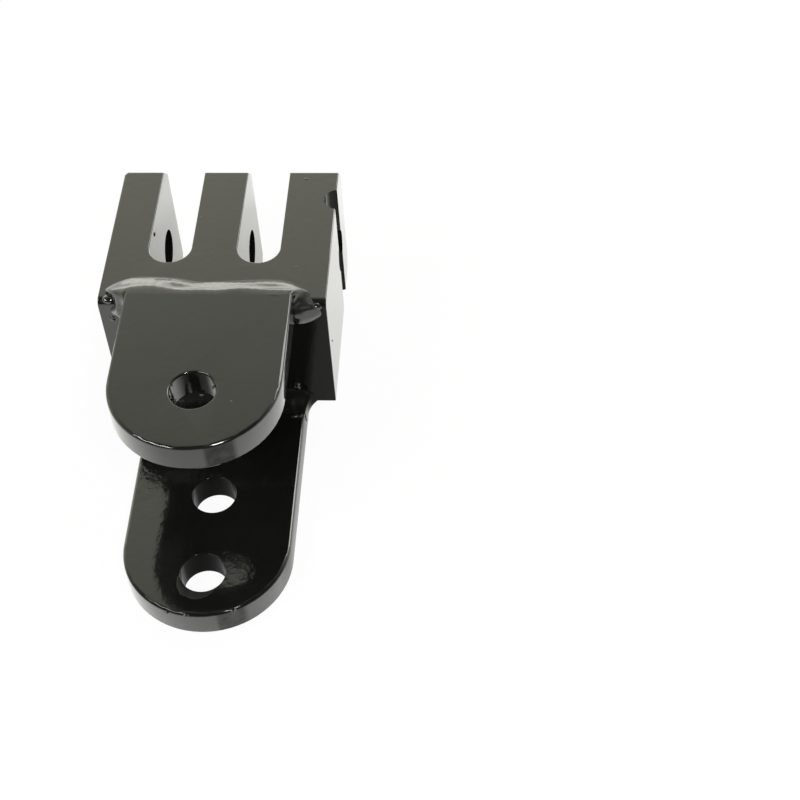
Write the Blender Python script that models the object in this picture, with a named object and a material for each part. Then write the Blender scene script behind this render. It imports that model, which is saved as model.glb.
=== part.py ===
"""Welded tow-bar adapter: a block with three pin lugs and two pierced tongues.

Metres, +Z up. +X is the adapter's right, +Y points to the lugs and the tongues reach towards -Y.
The origin is the middle of the footprint, on the underside of the lower tongue.
"""
import math

import bmesh
import bpy
from mathutils import Vector

MM = 0.001

# Sizes shared by the pieces
GAP = 0.3 * MM
PIN_HOLE = 13.5 * MM
PLATE_WIDTH = 50.8 * MM
PLATE_THICKNESS = 9.525 * MM

# Lug block
BLOCK_WIDTH = 69.85 * MM
BLOCK_LENGTH = 62.5 * MM
BLOCK_HEIGHT = 46.0 * MM
LUG_TIP_CHAMFER = 4.6 * MM
FRONT_EDGE_RADIUS = 2.5 * MM
LEFT_LUG = 12.7 * MM
MIDDLE_LUG = 14.3 * MM
SLOT_WIDTH = 13.5 * MM
SLOT_ROOT = 17.0 * MM
BORE_FROM_FACE = 45.4 * MM
GROOVE_RADIUS = 4.4 * MM
GROOVE_DEPTH = 3.9 * MM
BLOCK_EDGE = 0.35 * MM

# Knocked-off upper corner at the left lug's tip: cut along the tip edge, the side edge and the chamfer
NICK_CUTS = (1.3 * MM, 1.7 * MM, 1.7 * MM)
NICK_SPREAD = 3.0
NICK_CLEARANCE = 2.0 * MM

# Tongues, measured from the block's front face
UPPER_LENGTH = 60.3 * MM
UPPER_STEP = 5.0 * MM
LOWER_LENGTH = 82.6 * MM
LOWER_STEP = 8.525 * MM
JOINT_HOLE_FROM_FACE = 38.8 * MM
CHAIN_HOLE_FROM_FACE = 67.4 * MM
PLATE_EDGE = 0.9 * MM
UPPER_HOLE_EDGE = 0.6 * MM
LOWER_HOLE_EDGE = 0.25 * MM

# Weld beads. A toe line gives places along X and the bead's reach onto the block there.
UPPER_TOE_LINE = [
    (-33.5 * MM, 2.9 * MM),
    (-28.0 * MM, 6.6 * MM),
    (-21.6 * MM, 10.9 * MM),
    (-4.3 * MM, 8.9 * MM),
    (15.6 * MM, 9.9 * MM),
    (25.4 * MM, 8.4 * MM),
    (31.5 * MM, 2.9 * MM),
]
LOWER_TOE_LINE = [
    (-29.5 * MM, 2.5 * MM),
    (-22.0 * MM, 8.6 * MM),
    (22.0 * MM, 8.6 * MM),
    (29.5 * MM, 2.5 * MM),
]
FULL_TOE = 8.0 * MM
UPPER_BACK_HEIGHT = 4.5 * MM
LOWER_BACK_HEIGHT = 7.3 * MM

# Side runs: legs on the block and on the tongue, lowest and highest point, and how hollow the face is
UPPER_LEFT_LEGS = (4.8 * MM, 3.5 * MM)
UPPER_LEFT_SPAN = (-7.0 * MM, 2.0 * MM)
UPPER_RIGHT_LEGS = (8.4 * MM, 4.0 * MM)
UPPER_RIGHT_SPAN = (-9.2 * MM, 1.2 * MM)
LOWER_SIDE_LEGS = (3.6 * MM, 6.4 * MM)
LOWER_SIDE_SPAN = (-3.8 * MM, 7.0 * MM)
CONVEX = 1.0
HOLLOW = 2.2

# Inner runs: legs on the tongue and on the block
UPPER_INNER_LEGS = (6.0 * MM, 4.3 * MM)
LOWER_INNER_LEGS = (6.0 * MM, 5.6 * MM)
RIPPLE_PITCH = 3.4 * MM
RIPPLE_SHARE = 0.035
SIDE_END_SLOPE = math.radians(75)

# Fineness of the round stretches
HOLE_SEGMENTS = 48
END_SEGMENTS = 36
FRONT_EDGE_SEGMENTS = 6
ROOT_SEGMENTS = 20
GROOVE_SEGMENTS = 32
BEAD_SEGMENTS = 8
SIDE_RINGS = 10
EDGE_SEGMENTS = 2
EDGE_ANGLE = math.radians(40)
CUT_OVERRUN = 5.0 * MM

# Gloss black paint over everything
PAINT_COLOUR = (0.006, 0.007, 0.006, 1.0)
PAINT_ROUGHNESS = 0.12
BEAD_ROUGHNESS = 0.18

# Heights and places that follow from the sizes above
BLOCK_BOTTOM = LOWER_STEP
BLOCK_TOP = BLOCK_BOTTOM + BLOCK_HEIGHT
FRONT_FACE = (LOWER_LENGTH - BLOCK_LENGTH) / 2
LEFT_SLOT = -BLOCK_WIDTH / 2 + LEFT_LUG + SLOT_WIDTH / 2
RIGHT_SLOT = LEFT_SLOT + SLOT_WIDTH + MIDDLE_LUG
UPPER_UNDERSIDE = UPPER_STEP - PLATE_THICKNESS
LOWER_TOP = PLATE_THICKNESS - LOWER_STEP


# Helpers

def arc(centre, radius, start, end, segments):
    """Points of a flat arc, with the angles in degrees."""
    angles = [math.radians(start + (end - start) * step / segments) for step in range(segments + 1)]
    return [(centre[0] + radius * math.cos(a), centre[1] + radius * math.sin(a)) for a in angles]


def circle(centre, radius, segments):
    """Points of a full circle without a repeated end."""
    return arc(centre, radius, 0, 360, segments)[:-1]


def prism(outline, extrusion):
    """Closed solid from a flat outline drawn out along a vector."""
    solid = bmesh.new()
    base = solid.faces.new([solid.verts.new(point) for point in outline])
    grown = bmesh.ops.extrude_face_region(solid, geom=[base])
    far_side = [item for item in grown["geom"] if isinstance(item, bmesh.types.BMVert)]
    bmesh.ops.translate(solid, verts=far_side, vec=extrusion)
    bmesh.ops.recalc_face_normals(solid, faces=solid.faces)
    return solid


def loft(rings):
    """Closed solid through a row of rings that all have the same number of points."""
    solid = bmesh.new()
    rows = [[solid.verts.new(point) for point in ring] for ring in rings]
    count = len(rows[0])
    for row, following in zip(rows, rows[1:]):
        for i in range(count):
            j = (i + 1) % count
            solid.faces.new((row[i], row[j], following[j], following[i]))
    solid.faces.new(rows[0])
    solid.faces.new(rows[-1])
    bmesh.ops.recalc_face_normals(solid, faces=solid.faces)
    return solid


def to_object(name, solid, parent):
    """Object made from a bmesh solid, shaded smooth between its sharp edges."""
    mesh = bpy.data.meshes.new(name)
    solid.to_mesh(mesh)
    solid.free()
    mesh.shade_smooth()
    mesh.set_sharp_from_angle(angle=EDGE_ANGLE)
    piece = bpy.data.objects.new(name, mesh)
    piece.parent = parent
    bpy.context.collection.objects.link(piece)
    return piece


def cut_away(piece, label, solid):
    """Boolean cut of a solid given in the piece's own space."""
    cutter = to_object(f"{piece.name}_{label}", solid, piece)
    cutter.hide_render = True
    cutter.display_type = "WIRE"
    cut = piece.modifiers.new(label, "BOOLEAN")
    cut.operation = "DIFFERENCE"
    cut.solver = "EXACT"
    cut.object = cutter


def round_edges(piece, width):
    """Small rounding along the piece's sharp edges."""
    bevel = piece.modifiers.new("edge_rounding", "BEVEL")
    bevel.width = width
    bevel.segments = EDGE_SEGMENTS
    bevel.limit_method = "ANGLE"
    bevel.angle_limit = EDGE_ANGLE


def paint(piece, roughness):
    """Gloss black paint of the piece's own."""
    material = bpy.data.materials.new(f"{piece.name}_paint")
    material.use_nodes = True
    shader = material.node_tree.nodes["Principled BSDF"]
    shader.inputs["Base Color"].default_value = PAINT_COLOUR
    shader.inputs["Roughness"].default_value = roughness
    shader.inputs["Metallic"].default_value = 0.0
    piece.data.materials.append(material)


def datum(name, location):
    """Empty that a group of pieces is placed from."""
    marker = bpy.data.objects.new(name, None)
    marker.location = location
    bpy.context.collection.objects.link(marker)
    return marker


# Lug block: slots between the lugs, one pin bore through all three, a groove on the right lug

def slot_cutter(centre):
    """Round-rooted slot, open at the lug tips and through the full height."""
    radius = SLOT_WIDTH / 2
    mouth = BLOCK_LENGTH + CUT_OVERRUN
    plan = arc((centre, SLOT_ROOT + radius), radius, 180, 360, ROOT_SEGMENTS)
    plan += [(centre + radius, mouth), (centre - radius, mouth)]
    floor = -BLOCK_HEIGHT - CUT_OVERRUN
    return prism([(x, y, floor) for x, y in plan], (0, 0, BLOCK_HEIGHT + 2 * CUT_OVERRUN))


def bore_cutter():
    """Pin bore across the lugs at mid height."""
    start = -BLOCK_WIDTH / 2 - CUT_OVERRUN
    ring = circle((BORE_FROM_FACE, -BLOCK_HEIGHT / 2), PIN_HOLE / 2, HOLE_SEGMENTS)
    return prism([(start, y, z) for y, z in ring], (BLOCK_WIDTH + 2 * CUT_OVERRUN, 0, 0))


def groove_cutter():
    """Half-round groove down the right lug's outer face, over the bore."""
    centre = (BLOCK_WIDTH / 2 + GROOVE_RADIUS - GROOVE_DEPTH, BORE_FROM_FACE)
    ring = circle(centre, GROOVE_RADIUS, GROOVE_SEGMENTS)
    floor = -BLOCK_HEIGHT - CUT_OVERRUN
    return prism([(x, y, floor) for x, y in ring], (0, 0, BLOCK_HEIGHT + 2 * CUT_OVERRUN))


def nick_cutter():
    """Three-sided wedge over the left lug's outer upper corner."""
    corner = Vector((-BLOCK_WIDTH / 2, BLOCK_LENGTH - LUG_TIP_CHAMFER, 0))
    edges = [Vector((1, 0, 0)), Vector((0, -1, 0)), Vector((0, 1, -1)).normalized()]
    ends = [corner + edge * cut for edge, cut in zip(edges, NICK_CUTS)]
    middle = sum(ends, Vector()) / len(ends)
    solid = bmesh.new()
    base = [solid.verts.new(middle + (end - middle) * NICK_SPREAD) for end in ends]
    apex = solid.verts.new(corner + (corner - middle).normalized() * NICK_CLEARANCE)
    solid.faces.new(base)
    for i in range(len(base)):
        solid.faces.new((base[i - 1], base[i], apex))
    bmesh.ops.recalc_face_normals(solid, faces=solid.faces)
    return solid


def lug_block(parent):
    """Block with chamfered lug tips and a rounded upper front edge, cut from its side profile."""
    left = -BLOCK_WIDTH / 2
    chamfer = LUG_TIP_CHAMFER
    radius = FRONT_EDGE_RADIUS
    profile = [
        (0, -BLOCK_HEIGHT),
        (BLOCK_LENGTH - chamfer, -BLOCK_HEIGHT),
        (BLOCK_LENGTH, chamfer - BLOCK_HEIGHT),
        (BLOCK_LENGTH, -chamfer),
        (BLOCK_LENGTH - chamfer, 0),
    ]
    profile += arc((radius, -radius), radius, 90, 180, FRONT_EDGE_SEGMENTS)
    block = to_object("lug_block", prism([(left, y, z) for y, z in profile], (BLOCK_WIDTH, 0, 0)), parent)
    cut_away(block, "left_slot", slot_cutter(LEFT_SLOT))
    cut_away(block, "right_slot", slot_cutter(RIGHT_SLOT))
    round_edges(block, BLOCK_EDGE)
    cut_away(block, "pin_bore", bore_cutter())
    cut_away(block, "side_groove", groove_cutter())
    cut_away(block, "tip_nick", nick_cutter())
    paint(block, PAINT_ROUGHNESS)


# Tongues: flat bar with a full-radius end and pin holes

def pin_hole_cutter(from_face, edge):
    """Hole through a tongue, flared so that both rims come out rounded."""
    radius = PIN_HOLE / 2
    rim = arc((radius + edge, edge), edge, 270, 180, EDGE_SEGMENTS)
    lower = [(radius + edge, -CUT_OVERRUN)] + rim
    upper = [(r, PLATE_THICKNESS - z) for r, z in reversed(lower)]
    centre = (0, -from_face)
    return loft([[(x, y, z) for x, y in circle(centre, r, HOLE_SEGMENTS)] for r, z in lower + upper])


def tongue(name, parent, length, underside, hole_edge, holes_from_face):
    """Flat tongue whose back end butts on the block's front face."""
    radius = PLATE_WIDTH / 2
    outline = [(radius, -GAP), (-radius, -GAP)]
    outline += arc((0, radius - length), radius, 180, 360, END_SEGMENTS)
    plate = to_object(name, prism([(x, y, 0) for x, y in outline], (0, 0, PLATE_THICKNESS)), parent)
    plate.location.z = underside
    round_edges(plate, PLATE_EDGE)
    for number, from_face in enumerate(holes_from_face, start=1):
        cut_away(plate, f"pin_hole_{number}", pin_hole_cutter(from_face, hole_edge))
    paint(plate, PAINT_ROUGHNESS)


# Weld beads, in a space whose origin is the block's front edge beside the tongue.
# up is +1 where the bead's outer side faces up and -1 where it faces down.

def ripple(x):
    """Swell and dip of the bead along its run."""
    return 1 + RIPPLE_SHARE * math.cos(2 * math.pi * x / RIPPLE_PITCH)


def stations(start, end):
    """Places along X from one end of a run to the other, two to a ripple."""
    count = round(2 * (end - start) / RIPPLE_PITCH)
    return [start + (end - start) * step / count for step in range(count + 1)]


def reach_at(toe_line, x):
    """Reach of the bead onto the block at a place along X, eased between the measured ones."""
    for (x0, reach0), (x1, reach1) in zip(toe_line, toe_line[1:]):
        if x <= x1:
            break
    t = min(1.0, (x - x0) / (x1 - x0))
    return reach0 + (reach1 - reach0) * t * t * (3 - 2 * t)


def back_bead(name, parent, up, toe_line, height, edge_radius):
    """Run over the tongue's back end, from the block's outer face round its front edge."""
    centre = (edge_radius, -edge_radius)
    root_radius = edge_radius + GAP
    root_end = math.degrees(math.acos(-edge_radius / root_radius))
    root = arc(centre, root_radius, root_end, 90, EDGE_SEGMENTS)
    quarter = arc((0, 0), 1, 0, 90, BEAD_SEGMENTS)
    rings = []
    for x in stations(toe_line[0][0], toe_line[-1][0]):
        toe = reach_at(toe_line, x)
        crest = height * min(1.0, toe / FULL_TOE) * ripple(x)
        section = [(toe * c, GAP + crest * s) for c, s in quarter] + root
        rings.append([(x, y, up * z) for y, z in section])
    bead = to_object(name, loft(rings), parent)
    paint(bead, BEAD_ROUGHNESS)


def side_bead(name, parent, up, hand, legs, span, bow):
    """Run along the tongue's side on the block's front face, tapering off at both ends."""
    width, forward = legs
    middle = (span[0] + span[1]) / 2
    half = (span[1] - span[0]) / 2
    rings = []
    for step in range(SIDE_RINGS + 1):
        slope = SIDE_END_SLOPE * (2 * step / SIDE_RINGS - 1)
        z = up * (middle + half * math.sin(slope) / math.sin(SIDE_END_SLOPE))
        across = width * math.cos(slope)
        ahead = forward * math.cos(slope)
        quarter = arc((0, 0), 1, 0, 90, BEAD_SEGMENTS)
        face = [(hand * across * abs(c) ** bow, -GAP - ahead * abs(s) ** bow, z) for c, s in quarter]
        rings.append([(0, -GAP, z)] + face)
    bead = to_object(name, loft(rings), parent)
    bead.location.x = hand * (PLATE_WIDTH / 2 + GAP)
    paint(bead, BEAD_ROUGHNESS)


def inner_bead(name, parent, up, plate_face, legs):
    """Run along the tongue's inner face, in its corner with the block's front face."""
    forward, depth = legs
    rings = []
    for x in stations(-PLATE_WIDTH / 2, PLATE_WIDTH / 2):
        size = ripple(x)
        root = plate_face - up * GAP
        quarter = arc((0, 0), size, 0, 90, BEAD_SEGMENTS)
        rings.append([(x, -GAP, root)] + [(x, -GAP - forward * c, root - up * depth * s) for c, s in quarter])
    bead = to_object(name, loft(rings), parent)
    paint(bead, BEAD_ROUGHNESS)


# Assembly

for old in list(bpy.data.objects):
    bpy.data.objects.remove(old)

top_edge = datum("block_top_edge", (0, FRONT_FACE, BLOCK_TOP))
bottom_edge = datum("block_bottom_edge", (0, FRONT_FACE, BLOCK_BOTTOM))

lug_block(top_edge)
upper_holes = [JOINT_HOLE_FROM_FACE]
lower_holes = [JOINT_HOLE_FROM_FACE, CHAIN_HOLE_FROM_FACE]
tongue("upper_tongue", top_edge, UPPER_LENGTH, UPPER_UNDERSIDE, UPPER_HOLE_EDGE, upper_holes)
tongue("lower_tongue", bottom_edge, LOWER_LENGTH, -LOWER_STEP, LOWER_HOLE_EDGE, lower_holes)

back_bead("upper_back_weld", top_edge, 1, UPPER_TOE_LINE, UPPER_BACK_HEIGHT, FRONT_EDGE_RADIUS)
side_bead("upper_left_weld", top_edge, 1, -1, UPPER_LEFT_LEGS, UPPER_LEFT_SPAN, CONVEX)
side_bead("upper_right_weld", top_edge, 1, 1, UPPER_RIGHT_LEGS, UPPER_RIGHT_SPAN, CONVEX)
inner_bead("upper_inner_weld", top_edge, 1, UPPER_UNDERSIDE, UPPER_INNER_LEGS)

back_bead("lower_back_weld", bottom_edge, -1, LOWER_TOE_LINE, LOWER_BACK_HEIGHT, BLOCK_EDGE)
side_bead("lower_left_weld", bottom_edge, -1, -1, LOWER_SIDE_LEGS, LOWER_SIDE_SPAN, HOLLOW)
side_bead("lower_right_weld", bottom_edge, -1, 1, LOWER_SIDE_LEGS, LOWER_SIDE_SPAN, HOLLOW)
inner_bead("lower_inner_weld", bottom_edge, -1, LOWER_TOP, LOWER_INNER_LEGS)
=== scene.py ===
"""Gloss-black welded tow-bar adapter on a pale studio floor."""

import math

import bmesh
import bpy
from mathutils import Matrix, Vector, noise


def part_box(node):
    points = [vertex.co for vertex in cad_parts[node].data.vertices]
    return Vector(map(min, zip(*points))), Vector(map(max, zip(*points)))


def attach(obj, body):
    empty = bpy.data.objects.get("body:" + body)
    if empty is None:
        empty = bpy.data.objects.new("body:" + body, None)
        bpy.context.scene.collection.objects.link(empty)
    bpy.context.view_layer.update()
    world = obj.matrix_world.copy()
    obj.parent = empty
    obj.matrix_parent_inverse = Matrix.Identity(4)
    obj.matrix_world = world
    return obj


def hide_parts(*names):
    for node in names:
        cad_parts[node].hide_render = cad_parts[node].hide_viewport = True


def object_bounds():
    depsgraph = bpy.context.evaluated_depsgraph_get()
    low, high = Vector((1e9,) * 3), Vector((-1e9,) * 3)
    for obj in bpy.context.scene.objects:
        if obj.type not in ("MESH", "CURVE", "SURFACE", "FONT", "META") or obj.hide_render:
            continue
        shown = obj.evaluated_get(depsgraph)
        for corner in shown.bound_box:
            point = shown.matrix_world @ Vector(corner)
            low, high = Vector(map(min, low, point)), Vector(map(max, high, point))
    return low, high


MM = 0.001

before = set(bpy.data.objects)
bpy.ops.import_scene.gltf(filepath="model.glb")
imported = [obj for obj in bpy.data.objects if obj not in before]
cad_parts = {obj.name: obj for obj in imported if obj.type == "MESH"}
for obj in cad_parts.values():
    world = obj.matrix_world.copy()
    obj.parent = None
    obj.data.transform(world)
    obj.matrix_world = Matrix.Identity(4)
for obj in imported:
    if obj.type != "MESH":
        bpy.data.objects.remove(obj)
cad_low, cad_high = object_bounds()
block_low, block_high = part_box("lug_block")
lower_tongue_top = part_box("lower_tongue")[1].z

# Middles of the block's front edges, and hole centres in plan
UPPER_EDGE = Vector((0, block_low.y, block_high.z))
LOWER_EDGE = Vector((0, block_low.y, block_low.z))
JOINT_HOLE_FROM_FACE = 38.8 * MM
CHAIN_HOLE_FROM_FACE = 67.4 * MM
JOINT_HOLE = (0, block_low.y - JOINT_HOLE_FROM_FACE)
CHAIN_HOLE = (0, block_low.y - CHAIN_HOLE_FROM_FACE)

# Camera, at the photograph's viewing angle, with its turn in degrees
CAMERA_PLACE = (0.08435, -0.32191, 0.40700)
CAMERA_TURN = (39.916, 2.091, 2.446)
CAMERA_LENS = 72.62

# Studio: bright behind the object, falling off to a dim room above and behind the camera
FLOOR_SIZE = 8.0
FLOOR_COLOUR = (0.92, 0.92, 0.91, 1.0)
SEEN_GLOW = 0.94
MIRRORED_GLOW = 0.32
SKY_BRIGHT = (1.20, 1.19, 1.02, 1.0)
SKY_DIM = (0.10, 0.10, 0.09, 1.0)
SKY_DIM_SIDE = (0.05, -0.72, 0.69)
SKY_EDGE = (-0.10, 0.55)
AIM = Vector((0, 0, 0.03))
LAMPS = {
    "back_strip": {"place": (-0.20, 1.30, 0.22), "size": (1.60, 0.42), "power": 2.4},
    "left_window": {"place": (-0.615, -0.415, 0.87), "size": (0.72, 0.20), "power": 6.0},
    "right_panel": {"place": (0.55, 0.81, 0.88), "size": (0.55, 0.60), "power": 5.0},
    "right_lamp": {"place": (0.30, -0.60, 0.83), "size": (0.17, 0.17), "power": 5.0},
}

# Paint: noise for its dust, sheen, orange peel and grit, and depths in metres
DUST = {"scale": 90.0, "detail": 5.0, "roughness": 0.6}
SHEEN = {"scale": 40.0, "detail": 4.0, "roughness": 0.55}
PEEL = {"scale": 420.0, "detail": 3.0, "roughness": 0.5}
GRIT = {"scale": 2600.0, "detail": 2.0, "roughness": 0.5}
NOISE_RANGE = (0.3, 0.7)
PAINT_COLOURS = ((0.0040, 0.0045, 0.0040, 1.0), (0.0070, 0.0072, 0.0062, 1.0))
PAINT_ROUGH = (0.08, 0.16)
COAT_ROUGH = 0.03
PEEL_DEPTH = 30e-6
GRIT_DEPTH = 1.5e-6
FULL_COAT = 1.0
THIN_COAT = 0.46
NO_COAT = 0.0
SPECULAR = 0.5
BLOCK_SPECULAR = 0.44

# Paint over the welds
WELD_COAT = 0.85
WELD_PEEL = 60e-6
WELD_ROUGH = (0.12, 0.24)
WELD_COAT_ROUGH = 0.07

# Masks: tilt of a face over which a wall turns into a level face, and what keeps a place's plan
WALL = (0.30, 0.60)
PLAN = (1, 1, 0)

# Dull thin paint on what looks up, on the welds beside each tongue's right side
UPPER_DULL = {
    "place": (27.5 * MM, block_low.y - 2.5 * MM),
    "reach": (2.6 * MM, 4.6 * MM),
    "specular": 0.25,
}
SHOULDER_DULL = {
    "place": (30.4 * MM, block_low.y + 2.2 * MM),
    "reach": (2.0 * MM, 3.4 * MM),
    "specular": 0.30,
}
LOWER_DULL = {
    "place": (26.5 * MM, block_low.y - 3.0 * MM),
    "reach": (4.0 * MM, 6.0 * MM),
    "specular": 0.05,
}
DULL_FACING = (0.30, 0.50)
DULL_ROUGH = 0.50

# Painted shade on the tongue ends, right of the middle: their gloss lowered in patches, as a specular level
# and a coat, over cut marks in the relief.
SHADE_START = 5.0 * MM
SHADE_BLEND = 1.2 * MM
SHADE_END = 13.0 * MM
SHADE_FADE = 1.5 * MM
UPPER_END_SHADE_GLOSS = (0.08, 0.18)
LOWER_END_SHADE_GLOSS = (0.15, 0.34)
END_SHADE_PATCHES = {"scale": 320.0, "detail": 3.0, "roughness": 0.6}
END_SHADE_SHARE = (1.0, 0.65)
CUT_MARKS = {"scale": 700.0, "detail": 3.0, "roughness": 0.6}
CUT_DEPTH = 90e-6

# Painted shade on the right of the block's front and of the lower weld's front: gloss lowered there
SHADED_FRONT_FACING = (-0.75, -0.35)
FRONT_SHADE_SPECULAR = 0.12
FRONT_SHADE_COAT = 0.07

# Painted shade in the bores, as lower gloss, in the upper tongue only on the back of its bore
BORE_REACH = (6.95 * MM, 7.10 * MM)
BORE_SHADE_SPECULAR = 0.05
BORE_BACK = (-0.90, -0.55)
BORE_BACK_SHADE_SPECULAR = 0.08

# Full paint on the upper tongue's sides
SIDE_FACING = (0.25, 0.75)

# Thin paint on the lower tongue's front edge, and painted shade as lower gloss on its straight right side
EDGE_RISE = (0.12, 0.30)
EDGE_TOP = (0.93, 0.98)
EDGE_FRONT = (-0.3, 0.0)
EDGE_SPECULAR = 0.18
EDGE_COAT = 0.20
STRAIGHT_SIDE = (0.90, 1.00)
STRAIGHT_SIDE_SHADE_SPECULAR = 0.30

# Pitted paint beside the chain hole and under the upper tongue's left side
PIT_PLACES = [
    (10.5 * MM, block_low.y - 66.0 * MM),
    (-22.5 * MM, block_low.y - 33.0 * MM),
]
PIT_REACH = (5.0 * MM, 9.0 * MM)
PITS = {"scale": 380.0, "detail": 3.0, "roughness": 0.6}
PIT_DEPTH = 90e-6

# Weld beads: slow wobble with its own length along each axis, and fine ripples bowed across the bead
STATION_SPACING = 0.8 * MM
WOBBLE_LENGTHS = (9.0 * MM, 3.2 * MM, 3.2 * MM)
WOBBLE_DEPTH = 0.26 * MM
RIPPLE_LENGTH = 2.6 * MM
RIPPLE_DEPTH = 0.04 * MM
RIPPLE_BOW = 3.0
CREST_GAIN = 4.0
UPWARD = 1
DOWNWARD = -1

# Worn lip at the chain hole: points across it, out from the rim and up from the tongue, angles in degrees
LIP_SECTION = [(0.0, -0.3), (0.0, 0.3), (0.12, 0.85), (0.35, 1.0), (0.65, 0.7), (0.9, 0.2), (1.0, -0.3)]
LIP_RADIUS = 7.0 * MM
LIP_WIDTH = 2.9 * MM
LIP_HEIGHT = 0.14 * MM
LIP_START = 185
LIP_END = 310
LIP_STEPS = 28
LIP_TAPER = 0.06
LIP_LUMPS = 9
LIP_UNEVEN = 0.25
LIP_COLOURS = ((0.001, 0.001, 0.001, 1.0), (0.009, 0.009, 0.008, 1.0))
LIP_ROUGH = (0.30, 0.50)
LIP_COAT = 0.10

# Spatter: place in millimetres from the block's upper front edge, radius and stretch along each axis
DROPS = [
    ((-31.2, 0.0, -7.4), 0.95, (1.0, 0.7, 1.1)),
    ((-31.6, 1.7, -0.8), 1.90, (1.2, 0.9, 0.7)),
    ((31.7, 0.7, -2.0), 1.80, (1.2, 0.9, 0.8)),
    ((23.1, 0.0, -39.3), 1.20, (1.0, 0.7, 1.0)),
    ((23.2, 0.0, -37.6), 0.90, (1.0, 0.7, 1.0)),
    ((22.5, -7.2, -45.0), 1.20, (1.0, 1.0, 0.7)),
    ((23.8, -7.0, -45.0), 1.00, (1.0, 1.0, 0.7)),
    ((0.7, -32.7, -4.4), 0.60, (1.0, 1.0, 1.0)),
    ((24.7, 15.2, 0.0), 0.50, (1.3, 0.8, 0.3)),
    ((24.6, 54.9, 0.0), 0.60, (1.4, 0.9, 0.2)),
    ((-7.4, 36.8, 0.0), 0.35, (0.9, 1.2, 0.4)),
    ((-1.9, 20.8, 0.0), 0.30, (1.2, 0.9, 0.4)),
    ((11.6, -43.0, 5.0), 0.35, (1.0, 1.2, 0.4)),
    ((34.925, 5.6, -23.1), 0.45, (0.4, 1.0, 1.2)),
    ((-22.3, 32.7, -3.3), 0.90, (0.5, 1.2, 0.8)),
    ((-8.9, -81.2, -45.4), 0.70, (1.3, 0.8, 0.6)),
    ((-3.2, -82.2, -45.4), 0.70, (1.4, 0.8, 0.6)),
    ((10.4, -80.2, -45.4), 0.80, (1.5, 0.8, 0.6)),
]
DROP_SUBDIVISIONS = 2
DROP_LUMPS = 1.5
DROP_UNEVEN = 0.18

# Smoothing
SMOOTH_ANGLE = math.radians(50)
SMOOTH_LEVEL = 1
JOIN_DISTANCE = 1e-6


# Node helpers

def new_material(name):
    """Empty node material with its output node."""
    material = bpy.data.materials.new(name)
    material.use_nodes = True
    material.node_tree.nodes.clear()
    return material, material.node_tree, material.node_tree.nodes.new("ShaderNodeOutputMaterial")


def grain(tree, scale, detail, roughness):
    """Noise over the object's own coordinates."""
    place = tree.nodes.new("ShaderNodeTexCoord")
    texture = tree.nodes.new("ShaderNodeTexNoise")
    texture.inputs["Scale"].default_value = scale
    texture.inputs["Detail"].default_value = detail
    texture.inputs["Roughness"].default_value = roughness
    tree.links.new(place.outputs["Object"], texture.inputs["Vector"])
    return texture.outputs["Fac"]


def spread(tree, value, low, high, start, end):
    """A value carried from the range of start and end onto low and high, and held at its ends."""
    mapped = tree.nodes.new("ShaderNodeMapRange")
    mapped.inputs["From Min"].default_value = start
    mapped.inputs["From Max"].default_value = end
    mapped.inputs["To Min"].default_value = low
    mapped.inputs["To Max"].default_value = high
    tree.links.new(value, mapped.inputs["Value"])
    return mapped.outputs["Result"]


def combine(tree, operation, first, second):
    """Two values, or a value and a number, put together."""
    node = tree.nodes.new("ShaderNodeMath")
    node.operation = operation
    tree.links.new(first, node.inputs[0])
    if isinstance(second, float):
        node.inputs[1].default_value = second
    else:
        tree.links.new(second, node.inputs[1])
    return node.outputs["Value"]


def bump(tree, height, depth, below=None):
    """Bump of a real depth, laid over the normal below it."""
    relief = tree.nodes.new("ShaderNodeBump")
    relief.inputs["Distance"].default_value = depth
    tree.links.new(height, relief.inputs["Height"])
    if below is not None:
        tree.links.new(below, relief.inputs["Normal"])
    return relief.outputs["Normal"]


# Paint that every painted material starts from

def gloss_paint(name, coat, peel, rough=PAINT_ROUGH, coat_rough=COAT_ROUGH, colours=PAINT_COLOURS):
    """Sprayed gloss black under a clear coat: orange peel, fine grit, faint dust and uneven gloss."""
    material, tree, output = new_material(name)
    shader = tree.nodes.new("ShaderNodeBsdfPrincipled")
    shader.inputs["Specular IOR Level"].default_value = SPECULAR
    shader.inputs["Coat Weight"].default_value = coat
    shader.inputs["Coat Roughness"].default_value = coat_rough
    dust = tree.nodes.new("ShaderNodeMix")
    dust.data_type = "RGBA"
    dust.inputs["A"].default_value, dust.inputs["B"].default_value = colours
    tree.links.new(grain(tree, **DUST), dust.inputs["Factor"])
    tree.links.new(dust.outputs["Result"], shader.inputs["Base Color"])
    gloss = spread(tree, grain(tree, **SHEEN), *rough, *NOISE_RANGE)
    tree.links.new(gloss, shader.inputs["Roughness"])
    orange_peel = bump(tree, grain(tree, **PEEL), peel)
    relief = bump(tree, grain(tree, **GRIT), GRIT_DEPTH, orange_peel)
    for socket in ("Normal", "Coat Normal"):
        tree.links.new(relief, shader.inputs[socket])
    tree.links.new(shader.outputs["BSDF"], output.inputs["Surface"])
    return material, tree, shader


# Masks from the place and facing of a surface

def surface(tree):
    """Place and facing of the surface, each split into its axes."""
    coordinates = tree.nodes.new("ShaderNodeTexCoord")
    axes = []
    for output in ("Object", "Normal"):
        split = tree.nodes.new("ShaderNodeSeparateXYZ")
        tree.links.new(coordinates.outputs[output], split.inputs["Vector"])
        axes.append(split.outputs)
    return axes


def product(tree, *masks):
    """On where all of the masks are on."""
    result = masks[0]
    for mask in masks[1:]:
        result = combine(tree, "MULTIPLY", result, mask)
    return result


def absolute(tree, value):
    """A value without its sign."""
    return combine(tree, "ABSOLUTE", value, 0.0)


def wall(tree, facing):
    """On for walls, off for faces that look up or down."""
    return spread(tree, absolute(tree, facing["Z"]), 1.0, 0.0, *WALL)


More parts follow.
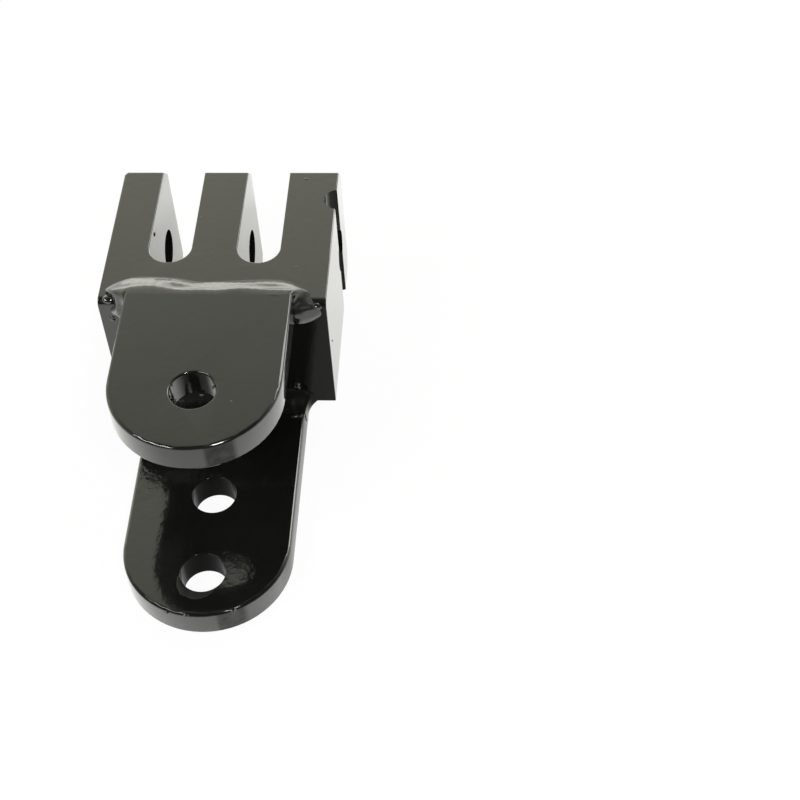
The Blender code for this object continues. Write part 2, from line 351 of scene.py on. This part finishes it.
def near(tree, place, reach):
    """On around an upright line, fading out between two distances from it."""
    coordinates = tree.nodes.new("ShaderNodeTexCoord")
    flat = tree.nodes.new("ShaderNodeVectorMath")
    flat.operation = "MULTIPLY"
    flat.inputs[1].default_value = PLAN
    away = tree.nodes.new("ShaderNodeVectorMath")
    away.operation = "DISTANCE"
    away.inputs[1].default_value = (*place, 0)
    tree.links.new(coordinates.outputs["Object"], flat.inputs[0])
    tree.links.new(flat.outputs["Vector"], away.inputs[0])
    return spread(tree, away.outputs["Value"], 1.0, 0.0, *reach)


# Changes to the paint inside a mask

def regloss(tree, shader, mask, specular, coat, rough=None):
    """Carries the paint's gloss to other values where the mask is on."""
    wanted = {"Specular IOR Level": specular, "Coat Weight": coat}
    if rough is not None:
        wanted["Roughness"] = rough
    for name, value in wanted.items():
        socket = shader.inputs[name]
        blend = tree.nodes.new("ShaderNodeMix")
        blend.inputs["A"].default_value = socket.default_value
        blend.inputs["B"].default_value = value
        for link in socket.links:
            tree.links.new(link.from_socket, blend.inputs["A"])
        tree.links.new(mask, blend.inputs["Factor"])
        tree.links.new(blend.outputs["Result"], socket)


def roughen(tree, shader, mask, marks, depth):
    """Deeper relief where the mask is on."""
    height = product(tree, mask, grain(tree, **marks))
    relief = bump(tree, height, depth, shader.inputs["Normal"].links[0].from_socket)
    for socket in ("Normal", "Coat Normal"):
        tree.links.new(relief, shader.inputs[socket])


def end_shade(tree, shader, gloss):
    """Painted shade right of the middle of a tongue's end: patchy lower gloss, over cut marks in the
    relief.
    """
    place, facing = surface(tree)
    start = spread(tree, place["X"], 0.0, 1.0, SHADE_START, SHADE_START + SHADE_BLEND)
    end = spread(tree, place["X"], 1.0, 0.0, SHADE_END, SHADE_END + SHADE_FADE)
    mask = product(tree, start, end, wall(tree, facing))
    patchy = spread(tree, grain(tree, **END_SHADE_PATCHES), *END_SHADE_SHARE, *NOISE_RANGE)
    regloss(tree, shader, product(tree, mask, patchy), *gloss)
    roughen(tree, shader, mask, CUT_MARKS, CUT_DEPTH)


def front_shade(tree, shader):
    """Painted shade on what looks to the front, right of the middle: the gloss lowered there."""
    place, facing = surface(tree)
    right = spread(tree, place["X"], 0.0, 1.0, SHADE_START, SHADE_START + SHADE_BLEND)
    front = spread(tree, facing["Y"], 1.0, 0.0, *SHADED_FRONT_FACING)
    regloss(tree, shader, product(tree, right, front), FRONT_SHADE_SPECULAR, FRONT_SHADE_COAT)


def dull_patch(tree, shader, place, reach, specular):
    """Thin rough paint around an upright line, on what looks up."""
    facing = surface(tree)[1]
    up = spread(tree, facing["Z"], 0.0, 1.0, *DULL_FACING)
    mask = product(tree, near(tree, place, reach), up)
    regloss(tree, shader, mask, specular, NO_COAT, DULL_ROUGH)


# Materials

def block_paint():
    """Paint of the lug block, with painted shade as lower gloss on the right of its front."""
    material, tree, shader = gloss_paint("lug_block_paint", FULL_COAT, PEEL_DEPTH)
    shader.inputs["Specular IOR Level"].default_value = BLOCK_SPECULAR
    front_shade(tree, shader)
    return material


def upper_tongue_paint():
    """Paint of the upper tongue: thin on top, full on its sides, with painted shade as lower gloss on the
    back of its bore and on the right of its end.
    """
    material, tree, shader = gloss_paint("upper_tongue_paint", THIN_COAT, PEEL_DEPTH)
    facing = surface(tree)[1]
    side = spread(tree, absolute(tree, facing["X"]), 0.0, 1.0, *SIDE_FACING)
    regloss(tree, shader, product(tree, side, wall(tree, facing)), SPECULAR, FULL_COAT)
    # Painted shade: lower gloss on the back of the bore
    back = spread(tree, facing["Y"], 1.0, 0.0, *BORE_BACK)
    bore = product(tree, near(tree, JOINT_HOLE, BORE_REACH), wall(tree, facing), back)
    regloss(tree, shader, bore, BORE_BACK_SHADE_SPECULAR, NO_COAT)
    # Painted shade: lower gloss on the right stretch of the end
    end_shade(tree, shader, UPPER_END_SHADE_GLOSS)
    return material


def lower_tongue_paint():
    """Paint of the lower tongue: thin on its front edge, pitted in places, with painted shade as lower
    gloss in its bores, on its straight right side and on the right of its end.
    """
    material, tree, shader = gloss_paint("lower_tongue_paint", FULL_COAT, PEEL_DEPTH)
    facing = surface(tree)[1]
    # Painted shade: lower gloss on the right stretch of the end
    end_shade(tree, shader, LOWER_END_SHADE_GLOSS)
    # Painted shade: lower gloss in the bores
    for hole in (JOINT_HOLE, CHAIN_HOLE):
        bore = product(tree, near(tree, hole, BORE_REACH), wall(tree, facing))
        regloss(tree, shader, bore, BORE_SHADE_SPECULAR, NO_COAT)
    edge = product(
        tree,
        spread(tree, facing["Z"], 0.0, 1.0, *EDGE_RISE),
        spread(tree, facing["Z"], 1.0, 0.0, *EDGE_TOP),
        spread(tree, facing["Y"], 1.0, 0.0, *EDGE_FRONT),
    )
    regloss(tree, shader, edge, EDGE_SPECULAR, EDGE_COAT)
    # Painted shade: lower gloss on the straight right side
    straight = product(tree, spread(tree, facing["X"], 0.0, 1.0, *STRAIGHT_SIDE), wall(tree, facing))
    regloss(tree, shader, straight, STRAIGHT_SIDE_SHADE_SPECULAR, NO_COAT)
    for place in PIT_PLACES:
        roughen(tree, shader, near(tree, place, PIT_REACH), PITS, PIT_DEPTH)
    return material


def weld_paint(name):
    """Paint over a weld, a little less even than on the plates."""
    return gloss_paint(name, WELD_COAT, WELD_PEEL, WELD_ROUGH, WELD_COAT_ROUGH)


def upper_weld_paint():
    """Paint over the upper weld: dull on its right end."""
    material, tree, shader = weld_paint("upper_weld_paint")
    for patch in (UPPER_DULL, SHOULDER_DULL):
        dull_patch(tree, shader, **patch)
    return material


def lower_weld_paint():
    """Paint over the lower weld: painted shade as lower gloss on the right of its front, and dull on its
    right end.
    """
    material, tree, shader = weld_paint("lower_weld_paint")
    front_shade(tree, shader)
    dull_patch(tree, shader, **LOWER_DULL)
    return material


def lip_paint():
    """Worn paint of the lip at the chain hole."""
    return gloss_paint("lip_paint", LIP_COAT, PEEL_DEPTH, LIP_ROUGH, colours=LIP_COLOURS)[0]


def spatter_paint():
    """Paint over the weld spatter."""
    return gloss_paint("spatter_paint", FULL_COAT, PEEL_DEPTH)[0]


def floor_paper():
    """Pale paper that keeps the shadow, lifted towards white where it is seen or mirrored."""
    material, tree, output = new_material("floor_paper")
    paper = tree.nodes.new("ShaderNodeBsdfDiffuse")
    paper.inputs["Color"].default_value = FLOOR_COLOUR
    white = tree.nodes.new("ShaderNodeEmission")
    rays = tree.nodes.new("ShaderNodeLightPath").outputs
    seen = combine(tree, "MULTIPLY", rays["Is Camera Ray"], SEEN_GLOW)
    mirrored_ray = combine(tree, "MAXIMUM", rays["Is Glossy Ray"], rays["Is Transmission Ray"])
    in_mirror = combine(tree, "MULTIPLY", mirrored_ray, MIRRORED_GLOW)
    mix = tree.nodes.new("ShaderNodeMixShader")
    tree.links.new(combine(tree, "MAXIMUM", seen, in_mirror), mix.inputs["Fac"])
    tree.links.new(paper.outputs["BSDF"], mix.inputs[1])
    tree.links.new(white.outputs["Emission"], mix.inputs[2])
    tree.links.new(mix.outputs["Shader"], output.inputs["Surface"])
    return material


# Smooth shading of the CAD pieces

def shade_by_angle(piece):
    """Joins split corners and shades smooth across everything but sharp edges."""
    weld = piece.modifiers.new("join_corners", "WELD")
    weld.merge_threshold = JOIN_DISTANCE
    group = bpy.data.node_groups.new(f"{piece.name}_shading", "GeometryNodeTree")
    group.interface.new_socket("Geometry", in_out="INPUT", socket_type="NodeSocketGeometry")
    group.interface.new_socket("Geometry", in_out="OUTPUT", socket_type="NodeSocketGeometry")
    start = group.nodes.new("NodeGroupInput")
    end = group.nodes.new("NodeGroupOutput")
    smooth = group.nodes.new("GeometryNodeSetShadeSmooth")
    sharp = group.nodes.new("GeometryNodeSetShadeSmooth")
    sharp.domain = "EDGE"
    sharp.inputs["Shade Smooth"].default_value = False
    angle = group.nodes.new("GeometryNodeInputMeshEdgeAngle")
    steep = group.nodes.new("FunctionNodeCompare")
    steep.inputs["B"].default_value = SMOOTH_ANGLE
    group.links.new(angle.outputs["Unsigned Angle"], steep.inputs["A"])
    group.links.new(steep.outputs["Result"], sharp.inputs["Selection"])
    group.links.new(start.outputs["Geometry"], smooth.inputs["Geometry"])
    group.links.new(smooth.outputs["Geometry"], sharp.inputs["Geometry"])
    group.links.new(sharp.outputs["Geometry"], end.inputs["Geometry"])
    piece.modifiers.new("shade_by_angle", "NODES").node_group = group
    flat = piece.modifiers.new("keep_flats_flat", "WEIGHTED_NORMAL")
    flat.keep_sharp = True


# Meshes of the scene's own pieces

def smooth_piece(name, bm, material):
    """Smooth object from a finished mesh, riding on the part."""
    bmesh.ops.recalc_face_normals(bm, faces=bm.faces)
    mesh = bpy.data.meshes.new(name)
    bm.to_mesh(mesh)
    bm.free()
    mesh.shade_smooth()
    mesh.materials.append(material)
    piece = bpy.data.objects.new(name, mesh)
    bpy.context.scene.collection.objects.link(piece)
    smooth = piece.modifiers.new("smooth", "SUBSURF")
    smooth.levels = SMOOTH_LEVEL
    smooth.render_levels = SMOOTH_LEVEL
    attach(piece, "root")
    return piece


def skin(rings, closed):
    """Mesh over a row of rings, closed to a loop or capped at its ends."""
    bm = bmesh.new()
    rows = [[bm.verts.new(point) for point in ring] for ring in rings]
    following_rows = rows[1:] + rows[:1] if closed else rows[1:]
    for row, following in zip(rows, following_rows):
        for i in range(len(row)):
            bm.faces.new((row[i - 1], row[i], following[i], following[i - 1]))
    if not closed:
        bm.faces.new(rows[0])
        bm.faces.new(rows[-1])
    return bm


# Face of a weld's section: shares of the way from its root to its toe on the block and on the tongue

UPPER_SECTION = [
    (-0.03, 0.96), (0.00, 0.988), (0.05, 0.9905), (0.14, 0.993), (0.27, 0.985), (0.33, 0.94), (0.40, 0.875),
    (0.50, 0.785), (0.61, 0.68), (0.72, 0.55), (0.83, 0.385), (0.92, 0.20), (0.97, 0.09), (1.00, -0.02),
]
LOWER_SECTION = [
    (-0.03, 1.00), (0.02, 0.98), (0.04, 0.88), (0.09, 0.74), (0.17, 0.58), (0.28, 0.43), (0.43, 0.29),
    (0.60, 0.17), (0.79, 0.07), (0.95, 0.02), (1.00, -0.03),
]

# Weld sections around a tongue: block toe, tongue toe and root, in millimetres from the block's edge

UPPER_BACK = [
    ((-21.6, 10.9, 0), (-21.6, -1.9, 5.05), (-21.6, 0, 0)),
    ((-12.0, 10.4, 0), (-12.0, -1.9, 5.05), (-12.0, 0, 0)),
    ((-4.3, 8.9, 0), (-4.3, -1.9, 5.05), (-4.3, 0, 0)),
    ((6.0, 9.3, 0), (6.0, -1.9, 5.05), (6.0, 0, 0)),
    ((15.6, 9.9, 0), (15.6, -1.9, 5.05), (15.6, 0, 0)),
    ((22.5, 9.2, 0), (22.0, -1.9, 5.05), (22.0, 0, 0)),
]
UPPER_RIGHT = [
    ((27.0, 6.6, 0), (25.2, -1.2, 4.6), (25.0, 0, 0)),
    ((29.6, 4.6, 0), (25.5, -0.6, 2.6), (25.0, 0, 0)),
    ((30.4, 2.4, 0), (25.5, -1.4, 0.4), (25.0, 0, -0.6)),
    ((31.6, 0.6, -0.7), (25.5, -2.2, -0.3), (25.0, 0, -1.6)),
    ((33.6, 0, -3.4), (25.5, -3.0, -1.5), (25.0, 0, -2.5)),
    ((33.0, 0, -6.0), (25.5, -3.5, -3.0), (25.0, 0, -3.2)),
    ((29.4, 0, -8.3), (25.0, -3.4, -4.4), (25.0, 0, -3.8)),
    ((24.6, 0, -7.8), (23.5, -3.6, -4.6), (23.5, 0, -4.5)),
    ((20.5, 0, -8.6), (20.0, -5.0, -4.6), (20.0, 0, -4.5)),
]
UPPER_UNDER = [((0, 0, -9.2), (0, -6.0, -4.6), (0, 0, -4.5))]
UPPER_LEFT = [
    ((-21.0, 0, -8.2), (-20.5, -4.6, -4.6), (-20.5, 0, -4.5)),
    ((-26.8, 0, -6.6), (-24.2, -3.6, -4.6), (-24.0, 0, -4.4)),
    ((-31.0, 0, -5.0), (-23.2, -4.8, -3.0), (-23.0, 0, -3.5)),
    ((-31.4, 0, -3.8), (-23.2, -5.0, -0.6), (-23.0, 0, -2.4)),
    ((-30.2, 0.1, -2.1), (-23.2, -4.8, 1.6), (-23.0, 0, -1.4)),
    ((-29.9, 1.0, -0.8), (-23.2, -4.0, 3.2), (-23.0, 0, -0.6)),
    ((-31.2, 2.6, -0.1), (-23.2, -3.1, 4.0), (-23.0, 0, -0.2)),
    ((-33.6, 4.8, 0), (-23.2, -2.3, 4.4), (-23.0, 0, 0)),
    ((-31.4, 7.4, 0), (-23.6, -1.8, 4.8), (-23.4, 0, 0)),
    ((-26.2, 10.3, 0), (-24.2, -1.8, 5.0), (-24.0, 0, 0)),
]

LOWER_BACK = [
    ((-20.0, 8.8, 0), (-20.0, -1.0, 8.4), (-20.0, 0, 0)),
    ((-4.0, 8.2, 0), (-4.0, -1.0, 8.4), (-4.0, 0, 0)),
    ((14.0, 9.0, 0), (14.0, -1.0, 8.4), (14.0, 0, 0)),
    ((22.0, 8.2, 0), (22.0, -1.0, 8.4), (22.0, 0, 0)),
]
LOWER_RIGHT = [
    ((26.5, 6.2, 0), (25.2, -1.2, 8.2), (25.0, 0, 2.0)),
    ((28.8, 2.2, 0), (25.5, -3.6, 6.5), (25.0, 0, 2.0)),
    ((29.4, 0, -0.4), (25.5, -5.4, 3.2), (25.0, 0, 1.0)),
    ((28.8, 0, -2.6), (25.5, -5.8, 0.4), (25.0, 0, 0)),
    ((27.0, 0, -4.8), (24.9, -6.0, -1.05), (24.9, 0, -0.8)),
    ((22.0, 0, -6.6), (21.0, -6.2, -1.05), (21.0, 0, -0.9)),
]
LOWER_INNER = [((0, 0, -6.8), (0, -6.1, -1.05), (0, 0, -0.9))]


# Weld beads swept through their sections

def mirrored(keys):
    """The same sections on the other side, in the order that closes the loop."""
    return [tuple((-x, y, z) for x, y, z in key) for key in reversed(keys)]


def between(keys, i, t):
    """Smooth step from one key section to the next around the loop."""
    count = len(keys)
    nearby = [keys[(i + offset) % count] for offset in (-1, 0, 1, 2)]
    blended = []
    for p0, p1, p2, p3 in zip(*nearby):
        leaving = (p2 - p0) / 2
        arriving = (p3 - p1) / 2
        blended.append(
            p1 * (2 * t ** 3 - 3 * t ** 2 + 1)
            + leaving * (t ** 3 - 2 * t ** 2 + t)
            + p2 * (3 * t ** 2 - 2 * t ** 3)
            + arriving * (t ** 3 - t ** 2)
        )
    return blended


def stations(keys):
    """Sections all around the loop, evenly spaced along their middle line."""
    found = []
    for i, key in enumerate(keys):
        following = keys[(i + 1) % len(keys)]
        travel = (following[0] + following[1] - key[0] - key[1]).length / 2
        steps = max(1, round(travel / STATION_SPACING))
        found += [between(keys, i, step / steps) for step in range(steps)]
    return found


def bead_ring(station, section, run):
    """Points of one section: its face from the tongue to the block, then its root."""
    block_toe, tongue_toe, root = station
    outward = (block_toe + tongue_toe - 2 * root).normalized()
    ring = []
    for along_block, along_tongue in section:
        point = root + (block_toe - root) * along_block + (tongue_toe - root) * along_tongue
        swell = WOBBLE_DEPTH * noise.noise([p / length for p, length in zip(point, WOBBLE_LENGTHS)])
        swell += RIPPLE_DEPTH * math.cos(2 * math.pi * run / RIPPLE_LENGTH + RIPPLE_BOW * along_block)
        # Nothing at the toes, and whole where both shares are a half
        crest = max(0.0, CREST_GAIN * along_block * along_tongue) ** 2
        ring.append(point + outward * swell * crest)
    return ring + [root]


def weld_bead(name, keys, section, edge, away, replaced, material):
    """Weld all around one tongue, from an edge of the block, with heights counted away from the block."""
    keys = [[Vector(point) * MM for point in key] for key in keys]
    rings = []
    for number, station in enumerate(stations(keys)):
        ring = bead_ring(station, section, number * STATION_SPACING)
        rings.append([edge + Vector((p.x, p.y, away * p.z)) for p in ring])
    bead = smooth_piece(name, skin(rings, True), material)
    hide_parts(*replaced)


# Lip of paint left on the front of the chain hole's rim

def paint_lip(name, material):
    """Low crescent around the rim, thickest in its middle."""
    centre_x, centre_y = CHAIN_HOLE
    rings = []
    for step in range(LIP_STEPS + 1):
        share = step / LIP_STEPS
        angle = math.radians(LIP_START + (LIP_END - LIP_START) * share)
        uneven = 1 + LIP_UNEVEN * noise.noise((LIP_LUMPS * share, 0, 0))
        swell = max(LIP_TAPER, math.sin(math.pi * share)) * uneven
        ring = []
        for out, up in LIP_SECTION:
            radius = LIP_RADIUS + LIP_WIDTH * swell * out
            height = lower_tongue_top + LIP_HEIGHT * swell * up
            ring.append((centre_x + radius * math.cos(angle), centre_y + radius * math.sin(angle), height))
        rings.append(ring)
    smooth_piece(name, skin(rings, False), material)


# Weld spatter: small uneven drops under the paint

def spatter(name, material):
    """Drops at the places and sizes listed, flattened against the face that they sit on."""
    bm = bmesh.new()
    for place, size, flattened in DROPS:
        made = bmesh.ops.create_icosphere(bm, subdivisions=DROP_SUBDIVISIONS, radius=1)
        for vert in made["verts"]:
            uneven = 1 + DROP_UNEVEN * noise.noise(vert.co * DROP_LUMPS + Vector(place))
            vert.co = Vector(a * b for a, b in zip(vert.co * uneven, flattened)) * size * MM
            vert.co += UPPER_EDGE + Vector(place) * MM
    smooth_piece(name, bm, material)


# Painted steel

for node_name, paint in (
    ("lug_block", block_paint()),
    ("upper_tongue", upper_tongue_paint()),
    ("lower_tongue", lower_tongue_paint()),
):
    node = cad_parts[node_name]
    node.data.materials.clear()
    node.data.materials.append(paint)
    shade_by_angle(node)

# Weld, lip and spatter

weld_bead(
    "upper_weld",
    UPPER_BACK + UPPER_RIGHT + UPPER_UNDER + UPPER_LEFT,
    UPPER_SECTION,
    UPPER_EDGE,
    UPWARD,
    ("upper_back_weld", "upper_left_weld", "upper_right_weld", "upper_inner_weld"),
    upper_weld_paint(),
)
weld_bead(
    "lower_weld",
    LOWER_BACK + LOWER_RIGHT + LOWER_INNER + mirrored(LOWER_RIGHT),
    LOWER_SECTION,
    LOWER_EDGE,
    DOWNWARD,
    ("lower_back_weld", "lower_left_weld", "lower_right_weld", "lower_inner_weld"),
    lower_weld_paint(),
)
paint_lip("chain_hole_lip", lip_paint())
spatter("weld_spatter", spatter_paint())

# Floor

bpy.ops.mesh.primitive_plane_add(size=FLOOR_SIZE, location=(0, 0, cad_low.z))
floor = bpy.context.object
floor.name = "floor"
floor.data.materials.append(floor_paper())


# World and lamps

def studio_dome():
    """World of bright walls that falls off towards a dim ceiling over the camera."""
    world = bpy.data.worlds.new("studio")
    world.use_nodes = True
    tree = world.node_tree
    direction = tree.nodes.new("ShaderNodeTexCoord")
    lean = tree.nodes.new("ShaderNodeVectorMath")
    lean.operation = "DOT_PRODUCT"
    lean.inputs[1].default_value = SKY_DIM_SIDE
    tree.links.new(direction.outputs["Generated"], lean.inputs[0])
    sky = tree.nodes.new("ShaderNodeMix")
    sky.data_type = "RGBA"
    sky.inputs["A"].default_value = SKY_BRIGHT
    sky.inputs["B"].default_value = SKY_DIM
    tree.links.new(spread(tree, lean.outputs["Value"], 0.0, 1.0, *SKY_EDGE), sky.inputs["Factor"])
    tree.links.new(sky.outputs["Result"], tree.nodes["Background"].inputs["Color"])
    bpy.context.scene.world = world


def softbox(name, place, size, power):
    """Rectangular lamp aimed at the object."""
    data = bpy.data.lights.new(name, "AREA")
    data.shape = "RECTANGLE"
    data.size, data.size_y = size
    data.energy = power
    lamp = bpy.data.objects.new(name, data)
    lamp.location = place
    lamp.rotation_euler = (AIM - Vector(place)).to_track_quat("-Z", "Y").to_euler()
    bpy.context.scene.collection.objects.link(lamp)


studio_dome()
for lamp_name, settings in LAMPS.items():
    softbox(lamp_name, **settings)

# Camera

camera_data = bpy.data.cameras.new("camera")
camera_data.lens = CAMERA_LENS
camera = bpy.data.objects.new("camera", camera_data)
camera.location = CAMERA_PLACE
camera.rotation_euler = [math.radians(turn) for turn in CAMERA_TURN]
bpy.context.scene.collection.objects.link(camera)
bpy.context.scene.camera = camera
bpy.context.scene.view_settings.view_transform = "Standard"
